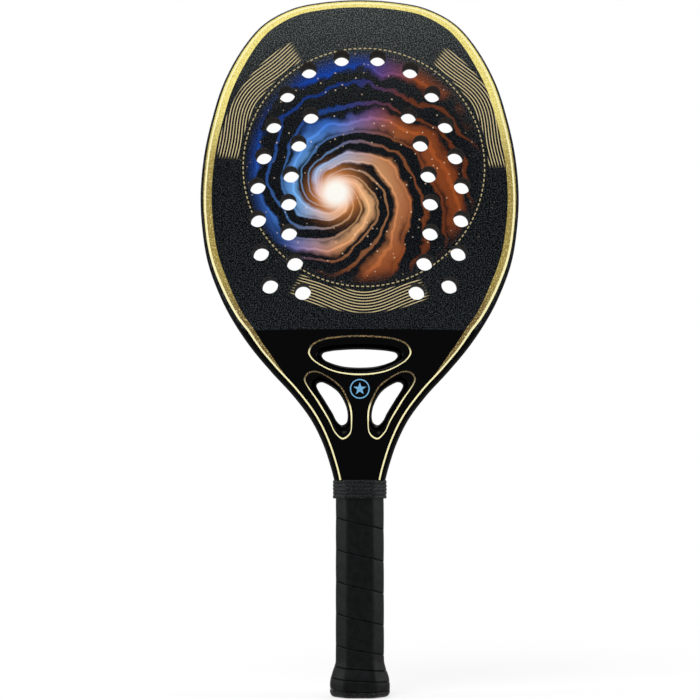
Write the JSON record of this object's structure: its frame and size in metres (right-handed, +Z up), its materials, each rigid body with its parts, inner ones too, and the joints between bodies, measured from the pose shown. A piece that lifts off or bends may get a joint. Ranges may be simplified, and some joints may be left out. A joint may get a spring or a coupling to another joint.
{
  "type": "beach tennis racket",
  "caption": "Paddle racket with a drilled foam-cored face between skins, a hollow moulded frame with an open throat, and a wrapped faceted handle with a flared butt.",
  "frame": {"origin": "centre of the flat end of the butt, with the racket standing on it", "axes": "+Z up the handle to the tip of the head, -Y out of the printed front face, +X across the head"},
  "size_m": [0.2298, 0.037, 0.5],
  "materials": {
    "gloss_frame": "gloss black lacquer over a woven composite, with a gold band painted near both rims",
    "printed_skin": "black fibre skin with a fine sanded grain and a colour print",
    "core_foam": "dull dark closed-cell foam, cut smooth in the holes",
    "filling_foam": "raw expanding foam",
    "butt_plastic": "fine moulded grain",
    "grip_leather": "soft synthetic grip with a fine grain",
    "finishing_tape": "plain smooth tape",
    "collar_rubber": "matt ribbed rubber"
  },
  "bodies": {
    "root": {"frame_moulding": "gloss_frame", "tube_foam": "filling_foam", "bridge_foam": "filling_foam", "strut_foam": "filling_foam", "core_panel": "core_foam", "front_skin": "printed_skin", "back_skin": "printed_skin", "handle_pallet_front": "filling_foam", "handle_pallet_back": "filling_foam", "butt_cap": "butt_plastic", "grip_wrap": "grip_leather", "finishing_tape": "finishing_tape", "rubber_collar": "collar_rubber"}
  },
  "joints": []
}
